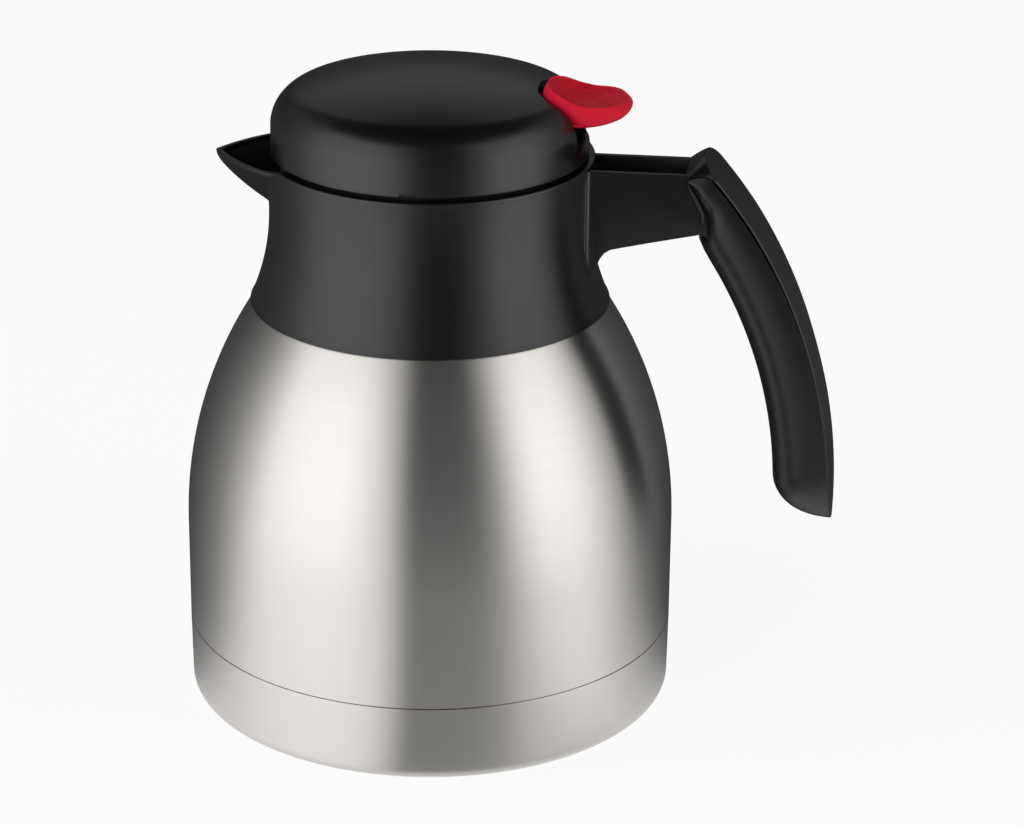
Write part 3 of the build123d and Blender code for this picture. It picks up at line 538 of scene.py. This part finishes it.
def makeArm():
    a = armSize
    body = plate("arm", armPlan(), a["lowZ"], a["topZ"])
    above = a["topZ"] + a["above"]
    topFrom, topTo = a["tipTop"]
    profile = [(a["rootX"], above)] + a["underside"] + a["tip"] + [(topFrom, a["topZ"]), (topTo, above)]
    carve(body, plate("armSide", profile, -a["cutHalf"], a["cutHalf"], upright=True), "INTERSECT")
    inner = a["width"] / 2 - a["wall"]
    fromX, toX = a["channelX"]
    over = a["topZ"] + a["channelAbove"]
    channel = [(fromX, over), (toX, over), (toX, a["floorZ"] + a["floorRise"]), (fromX, a["floorZ"])]
    carve(body, plate("armChannel", channel, -inner, inner, upright=True))
    softenEdges(body, a["edge"])
    return body


collar = joinPieces(makeCollar(), makeArm())
smooth(collar, collarSize["smoothDeg"])
place(collar, "jug", "black_plastic", "collar")
print("collar made")


# handle grip and its cover, rings of one section carried round the grip's curve

# angles run from the tip up to the crest, and depths from the outer curve inwards
gripSize = {"centre": (-27.9, 60.1), "outR": 135.6, "half": halfWidth("handle_grip"), "tipDeg": -2.97,
            "crestDeg": 42.95, "depth": 16.2, "depthTipDeg": 2.9, "depthPower": 2.3, "depthLeast": 0.4,
            "crestDepth": [(32.0, 16.2), (34.0, 16.0), (35.7, 15.2), (37.0, 11.6), (38.1, 9.5), (39.4, 8.6),
                           (40.5, 7.9), (42.9, 6.4)],
            "halfTipDeg": 4.2, "halfPower": 2.2, "halfLeast": 0.35,
            "noseLong": 8.0, "noseHalf": 11.3, "noseLean": 0.45, "noseStart": 0.04, "nosePower": 2.6,
            "capDepth": [(0.0, 6.3), (0.6, 5.9), (1.3, 4.8), (2.2, 3.2), (3.5, 1.5), (5.0, 1.0)],
            "tipSpan": 7.5, "tipPower": 1.6, "crestSpan": 5.0}
gripBody = {"seam": 0.28, "lipIn": 0.45, "lipDeep": 0.18, "lipSoft": 0.1, "roundFrom": 0.18, "roundGap": 0.8,
            "sidePower": 0.8, "square": [(35.5, 1.0), (40.0, 0.5)], "backDeep": 0.2, "backIn": 1.3,
            # rings that close the end at the crest, as (degrees from it, inset)
            "endDeg": 1.1, "ends": ((1.0, 0), (0.75, 0), (0.6, 0.1), (0.48, 0.25)), "smoothDeg": 40}
gripCover = {"ridge": [(12.0, 1.25), (34.0, 0.45)], "crown": [(12.0, 1.25), (34.0, -0.35)], "ridgeIn": 0.3,
             "ridgeDeep": 0.25, "backGap": 0.02, "sideLeast": 0.35, "sideBow": 0.04, "smoothDeg": 30,
             # rings that close the end at the crest, as (degrees from it, share of the width)
             "endDeg": 1.3, "ends": ((1.2, 1), (0.9, 1), (0.65, 1), (0.42, 1), (0.25, 0.97), (0.1, 0.88),
                                     (0, 0.7))}
bead = {"fromDeg": 37.0, "longDeg": 5.0, "side": 8.4, "thin": 0.2, "thick": 0.55, "rings": 24, "sides": 12,
        "depth": [(37.0, 11.2), (38.2, 9.4), (40.1, 8.3), (41.5, 7.6), (42.0, 7.3)]}


def gripDepth(deg):
    g = gripSize
    share = shareOf(deg, g["depthTipDeg"], g["tipDeg"])
    if share > 0:
        return max(g["depth"] * (1 - share ** g["depthPower"]) ** (1 / g["depthPower"]), g["depthLeast"])
    return between(deg, g["crestDepth"])


def gripHalf(deg):
    g = gripSize
    share = shareOf(deg, g["halfTipDeg"], g["tipDeg"])
    return max(g["half"] * sqrt(1 - share ** g["halfPower"]), g["halfLeast"])


def belowCrest(deg):  # length along the outer curve from the crest down
    return gripSize["outR"] * radians(gripSize["crestDeg"] - deg)


def nosed(deg, points):  # the outline comes to a round nose at the crest, wider lower down
    g = gripSize
    held = []
    for p, y in points:
        along = max(belowCrest(deg) + g["noseLean"] * p + g["noseStart"], 0.0)
        most = g["noseHalf"] * sqrt(1 - (1 - min(along / g["noseLong"], 1.0)) ** g["nosePower"])
        held.append((p, min(max(y, -most), most)))
    return held


def capDeep(deg):  # the cover reaches down round the crest
    return between(belowCrest(deg), gripSize["capDepth"])


def gripPoint(deg, inward, y):
    g = gripSize
    r = g["outR"] - inward
    return (g["centre"][0] + r * cos(radians(deg)), y, g["centre"][1] + r * sin(radians(deg)))


def gripAngles():  # closer together at both ends
    g = gripSize
    tipPart = [g["tipDeg"] + g["tipSpan"] * share ** g["tipPower"] for share in shares(16)]
    crestPart = [g["crestDeg"] - g["crestSpan"] * (1 - share) for share in shares(16)]
    middle = [tipPart[-1] + (crestPart[0] - tipPart[-1]) * share for share in shares(40)[1:-1]]
    return tipPart + middle + crestPart


def bodySection(deg, endIn=0.0):
    b = gripBody
    half, depth = gripHalf(deg), gripDepth(deg)
    scale = half / gripSize["half"]
    start = (capDeep(deg) + b["seam"]) * scale
    lip = [(start + endIn, half - b["lipIn"] * scale - endIn),
           (start + b["lipDeep"] * scale + endIn, half - b["lipSoft"] * scale - endIn)]
    turnFrom = max(depth * b["roundFrom"], start + b["roundGap"] * scale)
    square = between(deg, b["square"])
    points = list(lip)
    for a in [pi / 2 - pi * share for share in shares(20)]:
        width = abs(sin(a)) ** (b["sidePower"] * square) * (1 if a > 0 else -1)
        inward = turnFrom + (depth - endIn - turnFrom) * abs(cos(a)) ** square
        points.append((inward, width * (half - endIn)))
    points += [(p, -y) for p, y in reversed(lip)]
    back = start - b["backDeep"] * scale
    backHalf = half - b["backIn"] * scale
    points += [(back, -backHalf), (back, 0.0), (back, backHalf)]
    return [gripPoint(deg, p, y) for p, y in nosed(deg, points)]


def coverFace(deg, share):  # depth of the outer face, hollow near the crest and crowned lower down
    return between(deg, gripCover["ridge"]) - between(deg, gripCover["crown"]) * (1 - share * share)


def coverSection(deg, narrow=1.0):
    c = gripCover
    half = gripHalf(deg)
    scale = half / gripSize["half"]
    across = [1 - 2 * share for share in shares(16)]
    face = [(coverFace(deg, share) * scale, (half - c["ridgeIn"] * scale) * share) for share in across]
    edge = max(coverFace(deg, 1.0) * scale + c["ridgeDeep"] * scale, c["backGap"])
    low = max(capDeep(deg) * scale + c["backGap"], edge + c["sideLeast"] * scale)
    side = [(edge + (low - edge) * share, half * (1 - c["sideBow"] * share ** 2)) for share in shares(5)]
    points = [(p, y) for p, y in reversed(side)] + face + [(p, -y) for p, y in side]
    points += [(low, -half * 0.5), (low, 0.0), (low, half * 0.5)]
    return [gripPoint(deg, p, y * narrow) for p, y in nosed(deg, points)]


def makeBead(side):  # rounded ridge where the grip leaves the arm's side
    b = bead
    turns = [2 * pi * n / b["sides"] - pi for n in range(b["sides"])]
    rings = []
    for share in shares(b["rings"]):
        deg = b["fromDeg"] + b["longDeg"] * share
        depth = between(deg, b["depth"])
        r = b["thin"] + b["thick"] * sqrt(sin(pi * share))
        rings.append([gripPoint(deg, depth + r * cos(a), side * b["side"] + r * sin(a)) for a in turns])
    return stackRings("gripBead", rings)


def makeGripBody():
    crest = gripSize["crestDeg"]
    rings = [bodySection(deg) for deg in gripAngles() if deg < crest - gripBody["endDeg"]]
    rings += [bodySection(crest - back, inset) for back, inset in gripBody["ends"]]
    body = joinPieces(stackRings("handleGrip", rings), makeBead(1), makeBead(-1))
    smooth(body, gripBody["smoothDeg"])
    place(body, "jug", "black_plastic", "handle_grip")


def makeGripCover():
    crest = gripSize["crestDeg"]
    rings = [coverSection(deg) for deg in gripAngles() if deg < crest - gripCover["endDeg"]]
    rings += [coverSection(crest - back, narrow) for back, narrow in gripCover["ends"]]
    cover = stackRings("gripCover", rings)
    smooth(cover, gripCover["smoothDeg"])
    place(cover, "jug", "black_plastic", "grip_cover")


makeGripBody()
makeGripCover()
print("grip made")


# lid dome, with the lever's slot and a pry notch at its lower edge

dome = {"r": halfWidth("lid_dome"), "lowZ": 150.04, "sideStep": 1.75, "sideTop": 157.0, "corner": 10.0,
        "slopeDeg": 16.0, "crownGapDeg": 0.6, "wall": 2.2, "edge": 0.25, "sharpDeg": 60, "slotFront": 28.1,
        "slotFar": 60, "slotHalf": 12.6, "slotCorner": 10.2, "slotFloor": 152.84, "slotTop": 184,
        "notchW": 5.0, "notchH": 1.5, "notchFrom": 2, "notchDeep": 1.5, "sides": 240, "smoothDeg": 32}


def domeProfile():  # side, round corner and a shallow crown that runs on from it
    d = dome
    cornerAt = (d["r"] - d["corner"], d["sideTop"])
    crownStart = 90 - d["slopeDeg"]
    endX = cornerAt[0] + d["corner"] * cos(radians(crownStart))
    crownR = endX / sin(radians(d["slopeDeg"]))
    crownZ = cornerAt[1] + d["corner"] * sin(radians(crownStart)) - crownR * cos(radians(d["slopeDeg"]))
    profile = [(d["r"], d["lowZ"] + d["sideStep"] * k) for k in range(4)]
    profile += arcPoints(cornerAt, d["corner"], 0, crownStart, 22)
    crown = arcPoints((0, crownZ), crownR, crownStart + d["crownGapDeg"], 90, 26)
    return profile + crown[:-1] + [(0, crownZ + crownR)]


def slotTool():
    d = dome
    h, r, x = d["slotHalf"], d["slotCorner"], d["slotFront"]
    plan = arcPoints((x + r, h - r), r, 180, 90, 12) + [(d["slotFar"], h), (d["slotFar"], -h)]
    plan += arcPoints((x + r, r - h), r, 270, 180, 12)
    return plate("slotTool", plan, d["slotFloor"], d["slotTop"])


def notchTool():
    d = dome
    r = (d["notchW"] ** 2 / 4 + d["notchH"] ** 2) / (2 * d["notchH"])
    ring = arcPoints((0, d["lowZ"] + d["notchH"] - r), r, 0, 354, 59)
    return plate("notchTool", ring, -d["r"] - d["notchFrom"], -d["r"] + d["notchDeep"], upright=True)


def makeDome():
    lid = turnProfile("lidDome", domeProfile(), dome["sides"])
    thicken(lid, dome["wall"])
    softenEdges(lid, dome["edge"], dome["sharpDeg"])
    carve(lid, slotTool())
    carve(lid, notchTool())
    smooth(lid, dome["smoothDeg"])
    place(lid, "stopper", "black_plastic", "lid_dome")


makeDome()
print("dome made")


# thumb lever: a new pad on the CAD piece's fork

lever = {"frontX": 28.7, "rearX": 52.3, "half": halfWidth("press_lever"), "power": 2.7, "lean": 1.7,
         "pinch": 0.3, "pinchX": (41, 32), "forkTop": 161.4, "smoothDeg": 50,
         # heights of the pad's rim and of its underside, by x
         "top": [(28.7, 168.9), (31.0, 169.3), (34.0, 168.3), (38.0, 166.6), (42.0, 165.8), (46.0, 165.9),
                 (49.0, 165.9), (52.3, 164.9)],
         "under": [(28.7, 163.3), (32.0, 161.1), (36.0, 159.6), (40.0, 160.2), (45.0, 161.0), (50.0, 162.2),
                   (52.3, 163.4)],
         # rings as (scale, share of the height), the rim's scales added to that of the pad's top edge
         "side": ((0.3, 0.0), (0.75, 0.0), (0.92, 0.02), (0.985, 0.16), (0.99, 0.4), (0.96, 0.7)),
         "rim": ((0.03, 0.93), (0.0, 0.99), (-0.03, 0.995), (-0.07, 0.95), (-0.17, 0.85)),
         # rings of the dish as (scale, share of the height, depth below that)
         "dish": ((0.45, 0.7, 0.2), (0.2, 0.64, 0.25))}


def leverRing(scale, height, dish=0.0):  # a rounded oblong that follows the pad's rim and underside
    v = lever
    middle = (v["frontX"] + v["rearX"]) / 2
    long = (v["rearX"] - v["frontX"]) / 2
    ring = []
    for a in [-pi + 2 * pi * k / 48 for k in range(48)]:
        across = (abs(cos(a)) ** v["power"] + abs(sin(a)) ** v["power"]) ** (-1 / v["power"])
        x = middle + long * scale * across * cos(a)
        undercut = v["pinch"] * (1 - height) * shareOf(x, *v["pinchX"])
        y = v["half"] * scale * across * sin(a) * (1 - undercut)
        low, top = between(x, v["under"]), between(x, v["top"])
        ring.append((x, y, low + (top - low) * height - dish))
    return ring


def makeLever():
    v = lever
    topScale = 1 - v["lean"] / v["half"]
    rings = [leverRing(scale, height) for scale, height in v["side"]]
    rings += [leverRing(topScale + more, height) for more, height in v["rim"]]
    rings += [leverRing(*settings) for settings in v["dish"]]
    pad = stackRings("pressLever", rings)
    applyModifier(pad, "SUBSURF", levels=2, render_levels=2)
    fork = copyNode("press_lever", "leverFork")
    bpy.ops.object.mode_set(mode="EDIT")
    bpy.ops.mesh.select_all(action="SELECT")
    bpy.ops.mesh.bisect(plane_co=(0, 0, v["forkTop"] * mm), plane_no=(0, 0, 1), clear_outer=True,
                        use_fill=True)
    bpy.ops.object.mode_set(mode="OBJECT")
    joinPieces(pad, fork)
    smooth(pad, v["smoothDeg"])
    place(pad, "lever", "red_plastic", "press_lever")


makeLever()
print("lever made")


# return spring, a copy of the CAD piece with a mesh of its own

def makeSpring():
    spring = copyNode("return_spring", "returnSpring")
    smooth(spring, 50)
    place(spring, "stopper", "spring_steel", "return_spring")
    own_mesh(spring)


makeSpring()
print("spring made")


# camera, in metres, turned round the carafe from the side that has the grip on the right

camera = {"turnDeg": 8.0, "away": 0.8322, "high": 0.4143, "tiltDeg": 22.1, "lens": 118.4, "sensor": 36,
          "shift": (0.08, 0.0), "clip": (0.05, 20)}


def makeCamera():
    c = camera
    data = bpy.data.cameras.new("camera")
    ob = bpy.data.objects.new("camera", data)
    bpy.context.scene.collection.objects.link(ob)
    turn = radians(c["turnDeg"])
    ob.location = (c["away"] * sin(turn), -c["away"] * cos(turn), c["high"])
    ob.rotation_euler = (radians(90 - c["tiltDeg"]), 0, turn)
    data.lens = c["lens"]
    data.sensor_width = c["sensor"]
    data.shift_x, data.shift_y = c["shift"]
    data.clip_start, data.clip_end = c["clip"]
    bpy.context.scene.camera = ob


# floor and even light, in metres

stage = {"floorSize": 6.0, "floorColor": "f8f8f8", "floorWhite": 0.9, "worldLevel": 0.35}
# name, first and last degree to the right of the camera, level
softboxes = (("leftBox", -95, -22, 2.2), ("rightBox", 44, 92, 1.8))
softboxAt = {"far": 1.1, "low": 0.05, "high": 1.35}


def seenBy(tree):  # 1 for what the camera sees, also in metal and through glass
    path = addNode(tree, "ShaderNodeLightPath")
    first = addNode(tree, "ShaderNodeMath", {
        0: path.outputs["Is Camera Ray"], 1: path.outputs["Is Glossy Ray"]}, operation="MAXIMUM")
    both = addNode(tree, "ShaderNodeMath", {
        0: first.outputs[0], 1: path.outputs["Is Transmission Ray"]}, operation="MAXIMUM")
    return both.outputs[0]


def makeFloor():
    deselectAll()
    bpy.ops.mesh.primitive_plane_add(size=stage["floorSize"], location=(0, 0, 0))
    floor = bpy.context.object
    floor.name = "floor"
    mat, tree = newMaterial("paleFloor")
    share = addNode(tree, "ShaderNodeMath", {0: seenBy(tree)}, operation="MULTIPLY")
    share.inputs[1].default_value = stage["floorWhite"]
    plain = addNode(tree, "ShaderNodeBsdfDiffuse", Color=hexColor(stage["floorColor"]))
    glow = addNode(tree, "ShaderNodeEmission", Strength=1.0)
    mix = addNode(tree, "ShaderNodeMixShader", {
        0: share.outputs[0], 1: plain.outputs[0], 2: glow.outputs[0]})
    addNode(tree, "ShaderNodeOutputMaterial", {"Surface": mix.outputs[0]})
    paint(floor, mat)


def addSoftbox(name, fromDeg, toDeg, level):  # even light only, no highlight of its own
    far, low, high = softboxAt["far"], softboxAt["low"], softboxAt["high"]
    middle = radians(camera["turnDeg"] - 90 + (fromDeg + toDeg) / 2)
    lamp = bpy.data.lights.new(name, "AREA")
    lamp.shape = "RECTANGLE"
    lamp.size = 2 * far * tan(radians(toDeg - fromDeg) / 2)
    lamp.size_y = high - low
    lamp.energy = pi * lamp.size * lamp.size_y * level
    ob = bpy.data.objects.new(name, lamp)
    bpy.context.scene.collection.objects.link(ob)
    ob.location = (far * cos(middle), far * sin(middle), (low + high) / 2)
    ob.rotation_euler = (radians(90), 0, middle + radians(90))
    ob.visible_glossy = False


def makeWorld():  # white to the camera, dimmer as light
    world = bpy.data.worlds.new("studio")
    bpy.context.scene.world = world
    world.use_nodes = True
    tree = world.node_tree
    tree.nodes.clear()
    dim = addNode(tree, "ShaderNodeBackground", Strength=stage["worldLevel"], Color=(1, 1, 1, 1))
    white = addNode(tree, "ShaderNodeBackground", Strength=1.0, Color=(1, 1, 1, 1))
    mix = addNode(tree, "ShaderNodeMixShader", {0: seenBy(tree), 1: dim.outputs[0], 2: white.outputs[0]})
    addNode(tree, "ShaderNodeOutputWorld", {"Surface": mix.outputs[0]})


# light tent with bright and dark sides, which shows only in gloss, in mm

# each level stands beside its degrees to the right of the camera
tent = {"nearR": 66, "farR": 280, "hubR": 1, "floorZ": 0.6, "middleZ": 250, "highZ": 460, "sides": 96,
        "roof": [(-90, 0.03), (90, 0.03)],
        "floor": [(-150, 0.05), (-132, 0.08), (-116, 0.15), (-102, 0.28), (-90, 0.5), (-80, 0.85),
                  (-68, 1.12), (-40, 1.15), (-30, 1.12), (-20, 1.1), (-14, 0.85), (-7, 0.36), (2, 0.4),
                  (22, 0.42), (34, 0.5), (46, 0.78), (58, 1.04), (70, 0.95), (82, 0.72), (98, 0.28),
                  (112, 0.12), (128, 0.06), (150, 0.05)],
        "wall": [(-150, 0.06), (-132, 0.1), (-116, 0.2), (-102, 0.38), (-88, 0.85), (-74, 1.6), (-50, 1.9),
                 (-36, 1.85), (-26, 1.5), (-17, 0.95), (-9, 0.1), (4, 0.11), (20, 0.13), (29, 0.45),
                 (38, 1.3), (48, 1.85), (66, 1.7), (76, 1.3), (90, 0.55), (108, 0.22), (126, 0.1),
                 (150, 0.05), (172, 0.06)],
        "top": [(-165, 0.36), (-145, 0.1), (-102, 0.4), (-85, 1.4), (-40, 1.7), (-22, 0.8), (-8, 0.08),
                (22, 0.08), (36, 0.9), (50, 1.5), (80, 1.4), (104, 0.35), (145, 0.1), (165, 0.36)]}


def tentMaterial(name, levels):
    mat, tree = newMaterial(name)
    most = max(level for _, level in levels)
    coord = addNode(tree, "ShaderNodeTexCoord")
    around = addNode(tree, "ShaderNodeTexGradient", {"Vector": coord.outputs["Object"]},
                     gradient_type="RADIAL")
    ramp = addNode(tree, "ShaderNodeValToRGB", {"Fac": around.outputs["Fac"]})
    turned = sorted(((deg + camera["turnDeg"] + 90) % 360 / 360, level) for deg, level in levels)
    (first, firstLevel), (last, lastLevel) = turned[0], turned[-1]
    edge = lastLevel + (firstLevel - lastLevel) * (1 - last) / (first + 1 - last)
    marks = [(0.0, edge)] + turned + [(1.0, edge)]
    stops = ramp.color_ramp.elements
    while len(stops) < len(marks):
        stops.new(0.5)
    for stop, (where, level) in zip(stops, marks):
        stop.position = where
        stop.color = (level / most,) * 3 + (1.0,)
    glow = addNode(tree, "ShaderNodeEmission", {"Color": ramp.outputs["Color"]}, Strength=most)
    addNode(tree, "ShaderNodeOutputMaterial", {"Surface": glow.outputs[0]})
    return mat


def showInGlossOnly(ob):
    for kind in ("camera", "diffuse", "shadow", "transmission", "volume_scatter"):
        setattr(ob, "visible_" + kind, False)


def makeTent():
    t = tent
    parts = (("tentFloor", t["nearR"], t["farR"], t["floorZ"], t["floorZ"], t["floor"]),
             ("tentWall", t["farR"], t["farR"], t["floorZ"], t["middleZ"], t["wall"]),
             ("tentTop", t["farR"], t["farR"], t["middleZ"], t["highZ"], t["top"]),
             ("tentRoof", t["farR"], t["hubR"], t["highZ"], t["highZ"], t["roof"]))
    for name, fromR, toR, low, high, levels in parts:
        sheet = newCircle(name, t["sides"], fromR, low)
        bpy.ops.mesh.extrude_edges_move(TRANSFORM_OT_translate={"value": (0, 0, (high - low) * mm)})
        grow = toR / fromR
        bpy.ops.transform.resize(value=(grow, grow, 1), center_override=(0, 0, high * mm))
        bpy.ops.object.mode_set(mode="OBJECT")
        paint(sheet, tentMaterial(name + "Cloth", levels))
        showInGlossOnly(sheet)


makeFloor()
for name, fromDeg, toDeg, level in softboxes:
    addSoftbox(name, fromDeg, toDeg, level)
makeTent()
makeWorld()
makeCamera()
bpy.context.scene.view_settings.view_transform = "Standard"
print("stage, light and camera made")
